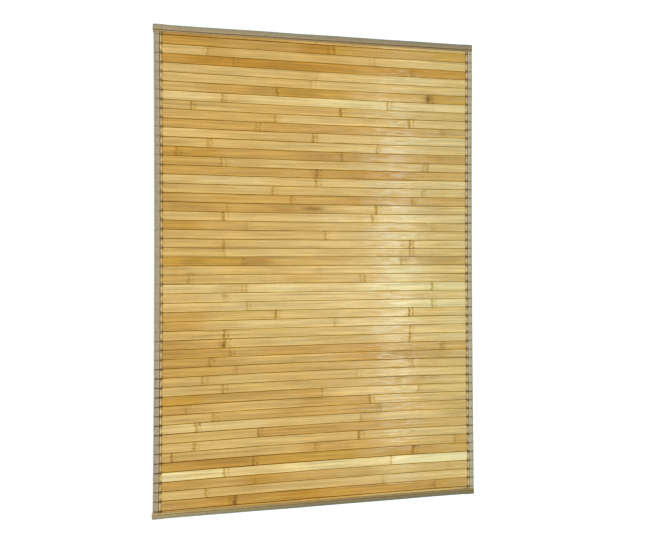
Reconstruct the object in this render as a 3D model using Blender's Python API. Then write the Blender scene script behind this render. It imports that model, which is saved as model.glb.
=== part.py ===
"""Bamboo slat rug, bound with woven cloth on all four sides.

The rug lies flat on z = 0 with its origin under the middle. The slats run along X
and lie side by side along Y, from the head at +Y to the foot at -Y. Each binding is a
strip of cloth folded round an edge: the side bindings take the slat ends, and the head
and foot bindings take the first and the last slat and run over the side bindings.
"""

from math import cos, radians, sin

import bmesh
import bpy

RUG_WIDTH = 0.6140  # across the side bindings, along X
RUG_LENGTH = 0.9144  # across the head and foot bindings, along Y

CLOTH = 0.0010  # thickness of a folded binding leg
CLEARANCE = 0.0003  # left between pieces that touch
SIDE_COVER = 0.0140  # how far a side binding reaches in over the slats
END_COVER = 0.0134  # the same for the head and foot bindings

SLAT_COUNT = 53
SLAT_THICKNESS = 0.0050
SLAT_GAP = 0.0004
SLAT_EDGE_ROUND = 0.0008

UPPER_BEND = 0.0018  # radius of a binding's outer edge, above
LOWER_BEND = 0.0008  # and below
BEND_STEPS = 3
LIP_ROUND = 0.0004
STITCH_INSET = 0.0025  # from the binding's inner edge to its row of stitches
STITCH_HALF_WIDTH = 0.0007
STITCH_DEPTH = 0.0003
END_WALL_ROUND = 0.0004
RAMP_LENGTH = 0.0090  # over which the head and foot bindings come down beside the sides
RAMP_STEPS = 4

CREASE_HALF_WIDTH = 0.0024  # of the furrow in a side binding beside each slat gap
CREASE_SIDE_SHARE = 0.5  # how much of its depth also notches the outer face
CREASE_LIP_SHARE = 1.2  # and draws back the inner edge

SLAT_BASE = CLOTH + CLEARANCE
SLAT_TOP = SLAT_BASE + SLAT_THICKNESS
BINDING_TOP = SLAT_TOP + CLEARANCE + CLOTH
RAISED_TOP = BINDING_TOP + CLEARANCE + CLOTH
SLAT_LENGTH = RUG_WIDTH - 2 * (CLOTH + CLEARANCE)
SLAT_FIELD = RUG_LENGTH - 2 * (CLOTH + CLEARANCE)
SLAT_WIDTH = (SLAT_FIELD - (SLAT_COUNT - 1) * SLAT_GAP) / SLAT_COUNT
SLAT_PITCH = SLAT_WIDTH + SLAT_GAP

# Base colour of each kind of slat, and of the cloth.
BAMBOO_COLOURS = {
    "cream": (0.80, 0.68, 0.38),
    "straw": (0.68, 0.50, 0.20),
    "wheat": (0.60, 0.41, 0.14),
    "honey": (0.53, 0.33, 0.10),
    "amber": (0.47, 0.26, 0.065),
}
CLOTH_COLOUR = (0.34, 0.29, 0.22)

# Colour of each slat, from the head to the foot.
SLAT_TONES = """
    straw amber straw amber straw wheat honey straw wheat
    straw honey straw straw honey wheat honey straw straw
    honey honey straw honey wheat wheat wheat amber straw
    honey straw wheat straw honey wheat wheat honey honey
    wheat honey wheat wheat amber wheat honey straw honey
    straw honey amber cream honey straw amber straw
""".split()

# Depth of the side bindings' furrows, each down to the gap after that many slats.
LEFT_CREASES = ((4, 0.00022), (33, 0.00012), (37, 0.00028), (52, 0.00045))
RIGHT_CREASES = ((9, 0.00030), (31, 0.00035), (52, 0.00042))


def material(name, colour, roughness):
    """A plain finish of one colour."""
    made = bpy.data.materials.new(name)
    made.use_nodes = True
    shader = made.node_tree.nodes["Principled BSDF"]
    shader.inputs["Base Color"].default_value = (*colour, 1.0)
    shader.inputs["Roughness"].default_value = roughness
    shader.inputs["Metallic"].default_value = 0.0
    made.diffuse_color = (*colour, 1.0)
    return made


def add_object(name, mesh, finish, collection):
    """Links a new object with its own material slot, so that it can share its mesh."""
    obj = bpy.data.objects.new(name, mesh)
    collection.objects.link(obj)
    if not mesh.materials:
        mesh.materials.append(None)
    obj.material_slots[0].link = "OBJECT"
    obj.material_slots[0].material = finish
    return obj


def shade_round(mesh):
    mesh.shade_smooth()
    mesh.set_sharp_from_angle(angle=radians(40))


def gap_position(gap):
    """Where the gap below the given slat lies along Y, counted from 1 at the head."""
    return SLAT_FIELD / 2 - gap * SLAT_PITCH + SLAT_GAP / 2


def crease_depth(creases, gap):
    return next(depth for last, depth in creases if gap <= last)


def slat_mesh():
    """A flat slat with square ends and rounded long edges, the upper ones rounder."""
    shape = bmesh.new()
    bmesh.ops.create_cube(shape, size=1.0)
    bmesh.ops.scale(shape, vec=(SLAT_LENGTH, SLAT_WIDTH, SLAT_THICKNESS), verts=shape.verts)
    for upper, radius, steps in ((True, SLAT_EDGE_ROUND, 3), (False, SLAT_EDGE_ROUND / 2, 1)):
        long_edges = []
        for edge in shape.edges:
            start, end = (vert.co for vert in edge.verts)
            runs_along_x = abs(start.x - end.x) > SLAT_LENGTH / 2
            if runs_along_x and (start.z > 0) == upper:
                long_edges.append(edge)
        bmesh.ops.bevel(
            shape, geom=long_edges, offset=radius, segments=steps, profile=0.5, affect="EDGES"
        )
    mesh = bpy.data.meshes.new("slat")
    shape.to_mesh(mesh)
    shape.free()
    shade_round(mesh)
    return mesh


def add_slats(collection, finishes):
    mesh = slat_mesh()
    for index, tone in enumerate(SLAT_TONES):
        slat = add_object(f"slat_{index + 1:02d}", mesh, finishes[tone], collection)
        slat.location.y = SLAT_FIELD / 2 - SLAT_WIDTH / 2 - index * SLAT_PITCH
        slat.location.z = SLAT_BASE + SLAT_THICKNESS / 2


def bend(inward, up, radius, start):
    """A quarter circle about a point of a section, clockwise from a start angle in degrees."""
    turns = [radians(start - 90 * step / BEND_STEPS) for step in range(BEND_STEPS + 1)]
    return [(inward + radius * cos(turn), up + radius * sin(turn)) for turn in turns]


def binding_section(cover, height, crease=0.0, filled=False):
    """Outline of a strip folded round an edge, as (inward, up) points from its outer foot.

    A crease draws in the outer face, the top and the lip. The inside stays where it is,
    or is filled where the strip's end is turned in and closed.
    """
    top = height - crease
    under = height - CLOTH
    tip = cover - crease * CREASE_LIP_SHARE
    stitch = tip - STITCH_INSET
    outline = [(cover, 0.0)]
    outline += bend(LOWER_BEND, LOWER_BEND, LOWER_BEND, 270)
    outline += bend(UPPER_BEND + crease * CREASE_SIDE_SHARE, top - UPPER_BEND, UPPER_BEND, 180)
    outline += [
        (stitch - STITCH_HALF_WIDTH, top),
        (stitch, top - STITCH_DEPTH),
        (stitch + STITCH_HALF_WIDTH, top),
        (tip - LIP_ROUND, top),
        (tip, top - LIP_ROUND),
        (tip, under),
    ]
    if filled:
        third = (under - CLOTH) / 3
        outline += [(cover, under - third), (cover, CLOTH + third)]
    else:
        outline += [(CLOTH, under), (CLOTH, CLOTH)]
    outline.append((cover, CLOTH))
    return outline


def inset(section, distance):
    """The section drawn in towards its middle by about a distance on every side."""
    inward = [point[0] for point in section]
    up = [point[1] for point in section]
    middle = ((min(inward) + max(inward)) / 2, (min(up) + max(up)) / 2)
    shares = (
        1 - 2 * distance / (max(inward) - min(inward)),
        1 - 2 * distance / (max(up) - min(up)),
    )
    return [
        tuple(centre + (value - centre) * share for value, centre, share in zip(point, middle, shares))
        for point in section
    ]


def loft(name, rings):
    """A closed mesh through rings of equally many points, with its two ends filled."""
    shape = bmesh.new()
    rows = [[shape.verts.new(point) for point in ring] for ring in rings]
    for row, following in zip(rows, rows[1:]):
        for index in range(len(row)):
            after = (index + 1) % len(row)
            shape.faces.new((row[index], row[after], following[after], following[index]))
    shape.faces.new(rows[0])
    shape.faces.new(rows[-1])
    bmesh.ops.remove_doubles(shape, verts=shape.verts, dist=1e-7)
    bmesh.ops.recalc_face_normals(shape, faces=shape.faces)
    mesh = bpy.data.meshes.new(name)
    shape.to_mesh(mesh)
    shape.free()
    shade_round(mesh)
    return mesh


def side_sections(creases):
    """(position along Y, section) of a side binding, from the head to the foot."""
    end = RUG_LENGTH / 2 - CLOTH - CLEARANCE
    plain = binding_section(SIDE_COVER, BINDING_TOP)
    yield end, plain
    for gap in range(1, SLAT_COUNT):
        place = gap_position(gap)
        creased = binding_section(SIDE_COVER, BINDING_TOP, crease_depth(creases, gap))
        yield place + CREASE_HALF_WIDTH, plain
        yield place, creased
        yield place - CREASE_HALF_WIDTH, plain
    yield -end, plain


def end_notch(name, side, end, collection):
    """Cutter for the lower leg of a side binding, where the head or foot binding lies."""
    size = (2 * SIDE_COVER, 2 * END_COVER, 2 * SLAT_BASE)
    reach = END_COVER + CLEARANCE
    shape = bmesh.new()
    bmesh.ops.create_cube(shape, size=1.0)
    bmesh.ops.scale(shape, vec=size, verts=shape.verts)
    mesh = bpy.data.meshes.new(name)
    shape.to_mesh(mesh)
    shape.free()
    cutter = bpy.data.objects.new(name, mesh)
    cutter.location.x = side * (RUG_WIDTH / 2 - SIDE_COVER / 2)
    cutter.location.y = end * (RUG_LENGTH / 2 - reach + END_COVER)
    cutter.hide_render = True
    cutter.display_type = "WIRE"
    collection.objects.link(cutter)
    return cutter


def add_side_binding(name, side, creases, finish, collection, cutters):
    """A folded strip along Y over the slat ends. side is -1 on the left and 1 on the right."""
    rings = [
        [(side * (RUG_WIDTH / 2 - inward), along, up) for inward, up in section]
        for along, section in side_sections(creases)
    ]
    binding = add_object(name, loft(name, rings), finish, collection)
    for end_name, end in (("head", 1), ("foot", -1)):
        notch = binding.modifiers.new(f"notch_{end_name}", "BOOLEAN")
        notch.operation = "DIFFERENCE"
        notch.solver = "EXACT"
        notch.object = end_notch(f"{name}_{end_name}_notch", side, end, cutters)


def end_sections():
    """(distance from the side bindings' outer face, section), from an end to the middle."""
    closed = binding_section(END_COVER, RAISED_TOP, filled=True)
    raised = binding_section(END_COVER, RAISED_TOP)
    yield -CLEARANCE - CLOTH, inset(closed, END_WALL_ROUND)
    yield -CLEARANCE - CLOTH + END_WALL_ROUND, closed
    yield -CLEARANCE, closed
    yield -CLEARANCE, raised
    for step in range(RAMP_STEPS + 1):
        share = step / RAMP_STEPS
        fall = share * share * (3 - 2 * share)
        height = RAISED_TOP + (BINDING_TOP - RAISED_TOP) * fall
        yield SIDE_COVER + CLEARANCE + share * RAMP_LENGTH, binding_section(END_COVER, height)


def add_end_binding(name, end, finish, collection):
    """A folded strip along X with closed ends. end is 1 at the head and -1 at the foot."""
    half = [(RUG_WIDTH / 2 - distance, section) for distance, section in end_sections()]
    stations = [(-along, section) for along, section in half] + half[::-1]
    rings = [
        [(along, end * (RUG_LENGTH / 2 - inward), up) for inward, up in section]
        for along, section in stations
    ]
    add_object(name, loft(name, rings), finish, collection)


def new_collection(name):
    made = bpy.data.collections.new(name)
    bpy.context.scene.collection.children.link(made)
    return made


def main():
    for obj in list(bpy.data.objects):
        bpy.data.objects.remove(obj)
    rug = new_collection("bamboo_rug")
    cutters = new_collection("cutters")
    bamboo = {
        tone: material(f"bamboo_{tone}", colour, roughness=0.45)
        for tone, colour in BAMBOO_COLOURS.items()
    }
    cloth = material("binding_cloth", CLOTH_COLOUR, roughness=0.9)
    add_slats(rug, bamboo)
    add_side_binding("binding_left", -1, LEFT_CREASES, cloth, rug, cutters)
    add_side_binding("binding_right", 1, RIGHT_CREASES, cloth, rug, cutters)
    add_end_binding("binding_head", 1, cloth, rug)
    add_end_binding("binding_foot", -1, cloth, rug)


main()
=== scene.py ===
"""Looks of a bamboo slat rug with woven cloth bindings.

Everything is in metres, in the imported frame: the slats run along X, the rug's length lies
along Y from the foot to the head at +Y, and its face looks up. A finer mesh stands in the
place of each slat and each binding, and rows of stitches are added on the bindings.
"""

from functools import reduce
from math import atan2, cos, exp, pi, radians, sin
from operator import mul
from random import Random

import bmesh
import bpy
from mathutils import Matrix, Vector, noise


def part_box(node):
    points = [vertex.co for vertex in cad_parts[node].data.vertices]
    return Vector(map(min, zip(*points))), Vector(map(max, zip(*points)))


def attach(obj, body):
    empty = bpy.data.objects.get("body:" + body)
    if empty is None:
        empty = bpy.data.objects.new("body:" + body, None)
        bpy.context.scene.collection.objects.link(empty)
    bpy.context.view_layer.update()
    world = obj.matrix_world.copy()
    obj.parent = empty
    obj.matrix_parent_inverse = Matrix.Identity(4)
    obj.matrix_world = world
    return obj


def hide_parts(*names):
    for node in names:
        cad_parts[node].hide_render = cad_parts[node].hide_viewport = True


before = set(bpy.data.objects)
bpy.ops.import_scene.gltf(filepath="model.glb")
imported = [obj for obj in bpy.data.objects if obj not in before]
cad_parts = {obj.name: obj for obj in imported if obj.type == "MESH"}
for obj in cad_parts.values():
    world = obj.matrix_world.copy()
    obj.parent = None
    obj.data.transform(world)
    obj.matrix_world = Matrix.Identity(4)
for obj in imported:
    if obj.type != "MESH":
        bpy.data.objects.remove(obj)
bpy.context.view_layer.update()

MM = 0.001
CM = 0.01
BODY = "root"

LEFT_LOW, LEFT_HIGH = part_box("binding_left")
HEAD_LOW, HEAD_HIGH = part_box("binding_head")
SLAT_LOW, SLAT_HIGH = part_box("slat_02")

SIDE_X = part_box("binding_right")[1].x  # outer face of the side bindings
END_Y = HEAD_HIGH.y  # outer face of the head and foot bindings
SIDE_COVER = LEFT_HIGH.x - LEFT_LOW.x
END_COVER = HEAD_HIGH.y - HEAD_LOW.y
SLAT_WIDTH = SLAT_HIGH.y - SLAT_LOW.y
SLAT_TOP = SLAT_HIGH.z
SLAT_BASE = SLAT_LOW.z
SLAT_END = SLAT_HIGH.x
SLAT_PITCH = SLAT_LOW.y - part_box("slat_03")[0].y
SLAT_GAP = SLAT_PITCH - SLAT_WIDTH
FIRST_GAP_Y = SLAT_LOW.y + SLAT_PITCH - SLAT_GAP / 2

# ---------------------------------------------------------------- slats, as charted

# Tone of each stretch between bamboo nodes, as it looks in even light (0 to 255).
TONES = {
    "ivory": (236, 217, 154),
    "cream": (229, 206, 140),
    "pale": (224, 195, 128),
    "straw": (218, 185, 114),
    "wheat": (211, 176, 104),
    "oat": (207, 169, 96),
    "honey": (202, 161, 86),
    "gold": (200, 157, 72),
    "toast": (195, 151, 73),
    "amber": (189, 141, 60),
}

# The slats from the head to the foot, each after its number. A tone stays until the distance
# from the left side, in centimetres, at which the next one begins. Where there is a bamboo node,
# the kind of mark that it leaves follows, with how deep that is in steps of 255. A minus puts
# the mark's second line on the node's left.
SLATS = """
    1: toast 10 honey 24 oat 30 line10 42 wheat 52 straw
    2: toast 12 honey 27 amber 33.3 dots18- gold 37 honey 53 gold
    3: straw 9.4 line9- oat 15 wheat 27 oat 35 wheat 41.3 pair7- 46 straw
    4: toast 6 amber 14.4 pits9 38 toast 42 amber 48.9 pits9
    5: straw 26 wheat 30.2 line7 straw 42 pale 55 straw
    6: straw 20 wheat 29 pair6 straw 49 wheat 54 straw
    7: wheat 9 honey 22.4 pits19- gold 36 oat 45 honey 52.2 knot15 gold
    8: pale 10 straw 12.3 soft14 17 pale 30 cream 43.9 pair19 pale
    9: wheat 6.7 line21 16 oat 34.6 wide26 37.5 wheat
    10: oat 22 pits16 straw 38 wheat 48.3 pair21 straw
    11: honey 18.6 pits9 51.5 oat 55.1 soft8
    12: straw 9 wheat 29.3 pits22 straw 43 pale
    13: wheat 9.6 soft11 20 straw 41.9 line17
    14: toast 4 wide11 12 honey 34.8 wide13
    15: honey 9 oat 12 pair15 wheat 20 straw 27 wheat 36 straw 42 wheat 52.1 pair18- straw
    16: honey 29.9 wide14 toast 36 amber 50 honey
    17: straw 8 pale 20 straw 29.8 wide15 52 pale
    18: wheat 14 straw 20 wheat 21.6 wide11 46 straw 51 soft7
    19: honey 5 oat 10 honey 25.1 line18 34 toast 39 honey 48.9 line12
    20: honey 13.2 line11 31 wheat 41.6 wide28 straw
    21: straw 9 wheat 12.5 wide22 straw 30 pale 36 straw 40.8 wide14 46 pale
    22: toast 8 oat 16.7 pits6 wheat 52.9 soft9
    23: wheat 31.6 line14 straw 41 pale 50 straw 56 wheat
    24: wheat 10 oat 12.7 wide13 wheat 18 straw 48.4 pits27 53 wheat 56 pale
    25: wheat 12.6 line12- straw 31 wheat 48.4 pair17
    26: gold 16.1 soft8 honey 22 oat 34 wheat 38 straw 42 pale 46.6 wide14 wheat 53 oat
    27: wheat 6 straw 12 wheat 24 straw 30.1 soft5 43 cream 51 straw
    28: oat 6.2 pits8 wheat 11 straw 24 oat 31 wheat 39.2 pair16- 45 pale 49 straw 55.5 wheat
    29: pale 12 straw 16.7 pair10- pale 21 cream 27 pale 38 cream 53 line24
    30: straw 9 pale 12.6 soft11 40 wheat 44.8 soft4 straw
    31: straw 12 pale 16.8 line17 45 cream 53 line22
    32: honey 9 wheat 22.1 pits24 straw 48.2 pair32 wheat 56 straw
    33: honey 8.5 straw 15 pale 33.5 line11 50 straw 55 pale
    34: wheat 12.7 pits18 straw 40 pale 45 straw 48.4 line19
    35: honey 5 oat 12.7 knot16 straw 23 pale 28 straw 32 wheat 41 straw 45.5 wheat 48.4 line25 straw 55
        pale
    36: honey 13.7 pits9 oat 20 honey 37 toast 42 honey 54.8 soft13
    37: honey 10 pits13 oat 15 wheat 34 honey 38 toast 47.6 pair8 50 honey 56 wheat
    38: honey 12 oat 14.9 line11- 48.9 line13- 54 wheat
    39: wheat 8.7 pair10 12 straw 21 wheat 37.7 pair5 43 straw
    40: straw 5.5 wheat 12.4 wide11 41 oat 45.6 soft4 53 straw
    41: gold 9 oat 27 honey 31.1 pits6 wheat 35 straw 50.1 line12 wheat 54 straw
    42: honey 5.9 soft7 oat 10 wheat 27 honey 40.3 pits21 wheat
    43: wheat 10.6 wide12 oat 22 honey 42.3 soft7- oat
    44: pale 7.6 pits18 20 straw 38.5 wide11 wheat 42 straw
    45: wheat 18.9 pits12 honey 48 oat 55.5 soft3
    46: straw 7.2 wide16 27 wheat 38.1 wide22 44 straw
    47: wheat 3.3 line25 27 honey 29.6 soft8 42 oat 57.5 wide10 honey
    48: toast 18 pits15 gold 38 oat 44 toast 49 wide18 53.5 honey
    49: ivory 5.5 cream 12.6 pair21 pale 24 cream 44.5 line15 ivory
    50: honey 9 oat 15.5 toast 18.2 pits6- 21 honey 25 oat 34 wheat 41 straw 50 wheat 56 soft3
    51: straw 9.4 line21 wheat 20 straw 42.9 soft8 pale 49 straw
    52: oat 5 honey 10 toast 14.6 knot18- 24 amber 31 toast 53.3 pits13- 56 honey
    53: oat 12 honey 30 line10 38 wheat
"""

# Kinds of node marks: half width of the line and distance of the second line in millimetres,
# then how deep the second is beside the first, how light the wood between, pits and stain.
MARKS = {
    "line": (2.0, 5.5, 0.25, 0.40, 0.6, 0.3),
    "wide": (2.9, 8.0, 0.25, 0.30, 0.6, 0.4),
    "pair": (1.9, 7.5, 0.60, 0.45, 0.6, 0.3),
    "soft": (2.5, 6.0, 0.60, 0.10, 0.7, 0.4),
    "pits": (2.3, 6.5, 0.45, 0.35, 1.0, 0.4),
    "dots": (1.8, 11.0, 0.60, 0.30, 1.0, 0.2),
    "knot": (3.0, 9.0, 0.25, 0.20, 1.0, 1.0),
}
FULL_DEPTH = 40.0  # depth of a mark that takes the material's full shade
LIGHT_DEPTH = 77.0  # and of one whose light side is twice as bright as the wood
PIT_DEPTH = 12.0  # and of one that is as full of pits as its kind has them
FEWEST_PITS = 0.5  # share of those pits that the faintest mark still has

# Brown smudges of each slat: centre and half length in centimetres, place across the slat
# (-1 at its head edge, 1 at its foot edge), half width across it, strength.
SMUDGES = {
    2: [(24.0, 7.0, 0.2, 1.0, 0.22)],
    4: [(27.0, 6.0, 0.4, 0.9, 0.25)],
    7: [
        (19.2, 2.6, 0.0, 1.2, 0.3), (27.0, 3.8, 0.4, 0.8, 0.5), (52.2, 0.5, 0.0, 0.6, 0.6),
        (52.4, 1.8, 0.1, 1.2, 0.35),
    ],
    14: [(30.0, 4.0, 0.3, 0.9, 0.22), (55.0, 5.0, 0.0, 1.2, 0.2)],
    16: [(29.6, 0.9, 0.0, 1.2, 0.4)],
    20: [
        (6.0, 5.0, -0.2, 1.2, 0.25), (23.6, 2.2, 0.1, 0.5, 0.5), (29.2, 2.0, -0.1, 0.4, 0.95),
        (54.0, 3.0, -0.5, 0.6, 0.3),
    ],
    24: [(46.9, 1.0, 0.0, 1.2, 0.25)],
    26: [
        (7.0, 2.4, 0.0, 0.8, 0.4), (18.6, 2.8, 0.0, 1.0, 0.45), (43.0, 3.0, 0.5, 0.6, 0.25),
        (55.5, 5.0, 0.2, 1.0, 0.38),
    ],
    27: [(6.5, 1.0, 0.8, 0.4, 0.5)],
    28: [(16.0, 9.0, 0.5, 0.6, 0.2)],
    35: [(4.0, 4.0, 0.0, 1.2, 0.22), (12.4, 0.7, 0.2, 0.7, 0.5)],
    36: [(5.0, 5.0, 0.0, 1.2, 0.22)],
    41: [(16.0, 13.0, -0.5, 0.9, 0.3)],
    44: [(58.0, 3.0, 0.2, 1.2, 0.35)],
    48: [(12.0, 5.0, 0.0, 1.2, 0.18), (40.0, 7.0, 0.1, 1.0, 0.15)],
    52: [(4.0, 4.0, 0.0, 1.2, 0.2), (14.4, 0.5, 0.5, 0.5, 0.7)],
}
SMUDGE_SHADE = (0.48, 0.37, 0.0)  # what the strongest smudge multiplies the tone by

# How far each gap between slats lies towards the foot of its even place, in millimetres,
# near the left side, in the middle and near the right side. Other gaps lie in between.
BOWS = (
    (0, 0.0, 0.0, 0.0), (1, 0.6, 1.6, 1.8), (3, 1.2, 3.0, 3.3), (11, 1.2, 3.3, 2.4),
    (14, 2.2, 4.7, 4.3), (23, 2.0, 3.6, 3.5), (27, 0.7, 0.9, 1.8), (35, 2.0, 0.1, 0.9),
    (38, 1.5, -1.6, 0.3), (46, 2.3, -1.3, 0.0), (49, 3.6, 1.1, 2.0), (51, 3.8, 2.2, 2.4),
    (52, 4.6, 2.8, 3.0), (53, 0.0, 0.0, 0.0),
)
BOW_PLACES = (4 * CM, 34 * CM, 58 * CM)  # from the left side

# Gaps that look darker (over 1) or fainter than the others at those three places: a darker one is drawn
# wider and gets more painted shade on its edges.
UNEVEN_GAPS = {
    1: (1.5, 1.6, 0.6), 4: (1.25, 0.7, 0.75), 6: (1.2, 0.7, 0.8), 8: (1.1, 0.75, 0.6),
    12: (1.3, 1.25, 1.2), 14: (1.0, 0.7, 0.9), 19: (1.25, 0.7, 0.75), 20: (0.85, 1.2, 1.7),
    26: (0.9, 1.05, 1.3), 27: (0.9, 0.95, 1.4), 32: (0.75, 1.3, 1.2), 41: (1.25, 1.25, 1.2),
    43: (1.0, 0.7, 0.85), 44: (1.6, 1.1, 1.1), 45: (1.1, 1.2, 0.8), 46: (1.2, 1.15, 1.0),
    47: (1.45, 1.1, 0.9), 48: (1.3, 2.0, 1.5), 49: (1.3, 1.15, 1.1), 50: (1.2, 1.2, 1.0),
    51: (1.2, 1.1, 1.1), 52: (1.6, 1.7, 1.9),
}

STUDIO_LIGHT = (0.845, 0.94, 0.875)  # how bright the studio makes a white matt surface
BAMBOO_GLEAM = 0.028  # what varnished bamboo reflects of the white room
CLOTH_GLEAM = 0.007  # and what cloth does
LEAST_LIGHT = 0.004  # the darkest that any tint gets

# ---------------------------------------------------------------- bindings, as charted

# Strength of the creases across a side binding, down to the gap after that many slats.
CREASES = {
    "left": ((9, 0.46), (15, 0.36), (20, 0.24), (33, 0.14), (36, 0.52), (52, 0.92)),
    "right": ((4, 0.35), (14, 0.45), (24, 0.55), (36, 0.50), (52, 0.62)),
}
CREASE_WIDTHS = {"left": 1.0 * MM, "right": 1.35 * MM}
CREASE_SHADE = (0.56, 0.60, 0.72)  # painted shade in the creases: what a full one takes off the cloth's tint

# Tints of a binding at its outer edge, beside its seam and on its lip, as they look. The four are one
# cloth: painted shade makes the head and the foot darker, and painted cooler light makes the right one
# greener.
CLOTH_TINTS = {
    "left": ((170, 158, 130), (189, 168, 125), (198, 172, 118)),
    "right": ((172, 165, 132), (191, 178, 142), (203, 180, 141)),
    "head": ((146, 136, 107), (168, 150, 112), (162, 138, 95)),
    "foot": ((121, 114, 88), (146, 131, 91), (160, 137, 84)),
}
SHADED_RIM_TINT = (140, 133, 117)  # painted shade on the fold's outer face, mixed with the tint at its edge
RIM_SHARE = 0.6
LIP_SHARE = 0.9  # how far a lip goes from the tint beside the seam to its own
BASE_SHADE = 0.9  # of the cloth underneath
# Brightness of the head and the foot near the left side, in the middle and near the right.
CLOTH_SHADES = {"head": (1.10, 1.0, 0.93), "foot": (1.24, 1.0, 0.94)}
# Painted shade in the channel that the stitches draw in: what it takes each binding's tint to.
SEAM_SHADES = {
    "left": (0.64, 0.55, 0.38),
    "right": (0.64, 0.55, 0.40),
    "head": (0.69, 0.60, 0.42),
    "foot": (0.90, 0.86, 0.78),
}
LIP_LIGHT_BEATS = {"left": 0.14, "right": 0.17}  # how much painted light brightens a side's lip and seam between gaps, and painted shade darkens them at the gaps
THREAD_TINTS = {
    "left": (98, 70, 30),
    "right": (98, 72, 32),
    "head": (92, 62, 30),
    "foot": (132, 112, 78),
}

CLOTH = 0.8 * MM  # thickness of the binding cloth
SEAT_DROP = 0.25 * MM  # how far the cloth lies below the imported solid's top
# How far each binding's cloth reaches in over the rug, and how far its seam lies from its lip.
COVERS = {"left": 13.6 * MM, "right": 12.7 * MM, "head": 14.0 * MM, "foot": 11.6 * MM}
INSETS = {"left": 3.0 * MM, "right": 2.6 * MM, "head": 3.2 * MM, "foot": 3.8 * MM}
END_DRAWS = {1: 0.8 * MM, -1: -0.5 * MM}  # how far each end's edge lies inside its packed box

# Each long side's bow outwards in millimetres: what it gains from the middle to an end, its
# value in the middle and the most that it reaches.
SIDE_BOWS = {-1: (2.0, -1.6, 0.4), 1: (2.4, -0.2, 1.5)}

# ---------------------------------------------------------------- numbers and colours


def display(tint, light=(1.0, 1.0, 1.0), gleam=0.0):
    """Linear colour that looks like a display colour (0 to 255) in a light, under a gleam."""
    linear = (((value / 255 + 0.055) / 1.055) ** 2.4 for value in tint)
    return tuple(max((value - gleam) / part, LEAST_LIGHT) for value, part in zip(linear, light))


def lit(tint):
    """Linear colour of a surface that shows a charted display colour in the studio's light."""
    return display(tint, STUDIO_LIGHT, BAMBOO_GLEAM)


def blend_tints(first, second, share):
    return tuple(mix(a, b, share) for a, b in zip(first, second))


def mix(first, second, share):
    return first + (second - first) * share


def clamp(value, low=0.0, high=1.0):
    return max(low, min(high, value))


def ease(value):
    value = clamp(value)
    return value * value * (3 - 2 * value)


def bell(distance, width):
    return exp(-((distance / width) ** 2))


def ripple(x, y, seed):
    """Smooth noise, about -1 to 1, at points in its own units."""
    return noise.noise(Vector((x, y, 17.3 * seed + 0.5)))


def curve(values, x):
    """Value at x of the parabola through three values charted at the bow places."""
    left, middle, right = values
    first, second, third = (place - SIDE_X for place in BOW_PLACES)
    total = left * (x - second) * (x - third) / ((first - second) * (first - third))
    total += middle * (x - first) * (x - third) / ((second - first) * (second - third))
    return total + right * (x - first) * (x - second) / ((third - first) * (third - second))


def gap_y(gap, x):
    """Place along the rug of the gap after that many slats, at x."""
    after = next(index for index, row in enumerate(BOWS) if row[0] >= gap)
    upper, lower = BOWS[max(after - 1, 0)], BOWS[after]
    share = (gap - upper[0]) / max(lower[0] - upper[0], 1)
    shifts = [mix(a, b, share) for a, b in zip(upper[1:], lower[1:])]
    return FIRST_GAP_Y - (gap - 1) * SLAT_PITCH - curve(shifts, x) * MM


def unevenness(gap, x):
    """How much darker than the others a gap is at x."""
    return max(curve(UNEVEN_GAPS.get(gap, (1.0, 1.0, 1.0)), x), FAINTEST_GAP)


def gap_shade(gap, x):
    """How dark the painted shade on the edges beside a gap is at x."""
    return unevenness(gap, x) * mix(*GAP_SHADES, (x + SIDE_X) / (2 * SIDE_X))


def side_bow(side, y):
    """How far a long side lies outside its packed box at y. side is -1 on the left."""
    gain, middle, most = SIDE_BOWS[side]
    share = y / END_Y
    return min(gain * share * share + middle, most) * MM


# ---------------------------------------------------------------- meshes

SHARP_TURN = radians(50)  # edges that turn by more are drawn sharp


def tube_faces(rows, count, start=0):
    """Faces through rows of count points, numbered from start, with both ends filled."""
    faces = []
    last = start + (rows - 1) * count
    for first in range(start, last, count):
        for index in range(count):
            after = (index + 1) % count
            faces.append((first + index, first + after, first + count + after, first + count + index))
    return [*faces, tuple(range(start, start + count)), tuple(range(last, last + count))]


def smooth_mesh(name, points, faces):
    mesh = bpy.data.meshes.new(name)
    mesh.from_pydata(points, [], faces)
    shape = bmesh.new()
    shape.from_mesh(mesh)
    bmesh.ops.recalc_face_normals(shape, faces=shape.faces)
    shape.to_mesh(mesh)
    shape.free()
    mesh.shade_smooth()
    return mesh


def ring_mesh(name, rings):
    """A mesh through rings of equally many points, with its two ends filled."""
    points = [point for ring in rings for point in ring]
    mesh = smooth_mesh(name, points, tube_faces(len(rings), len(rings[0])))
    mesh.set_sharp_from_angle(angle=SHARP_TURN)
    return mesh


def set_attributes(mesh, names, looks):
    """Writes the named attributes, numbers or colours, from a row of them for each point."""
    for name, values in zip(names, zip(*looks)):
        if isinstance(values[0], float):
            mesh.attributes.new(name, "FLOAT", "POINT").data.foreach_set("value", values)
        else:
            parts = [part for value in values for part in (*value, 1.0)]
            mesh.attributes.new(name, "FLOAT_COLOR", "POINT").data.foreach_set("color", parts)


def add_object(name, data):
    made = bpy.data.objects.new(name, data)
    bpy.context.scene.collection.objects.link(made)
    return made


def add_piece(name, mesh, material, replaced=()):
    piece = add_object(name, mesh)
    mesh.materials.append(material)
    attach(piece, BODY)
    if replaced:
        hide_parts(*replaced)
    return piece


# ---------------------------------------------------------------- slats

SLAT_ROUND = 0.9 * MM
SLAT_CHAMFER = 0.4 * MM
SLAT_STEP = 6.0 * MM  # between the rings of a slat's mesh where nothing happens
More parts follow.
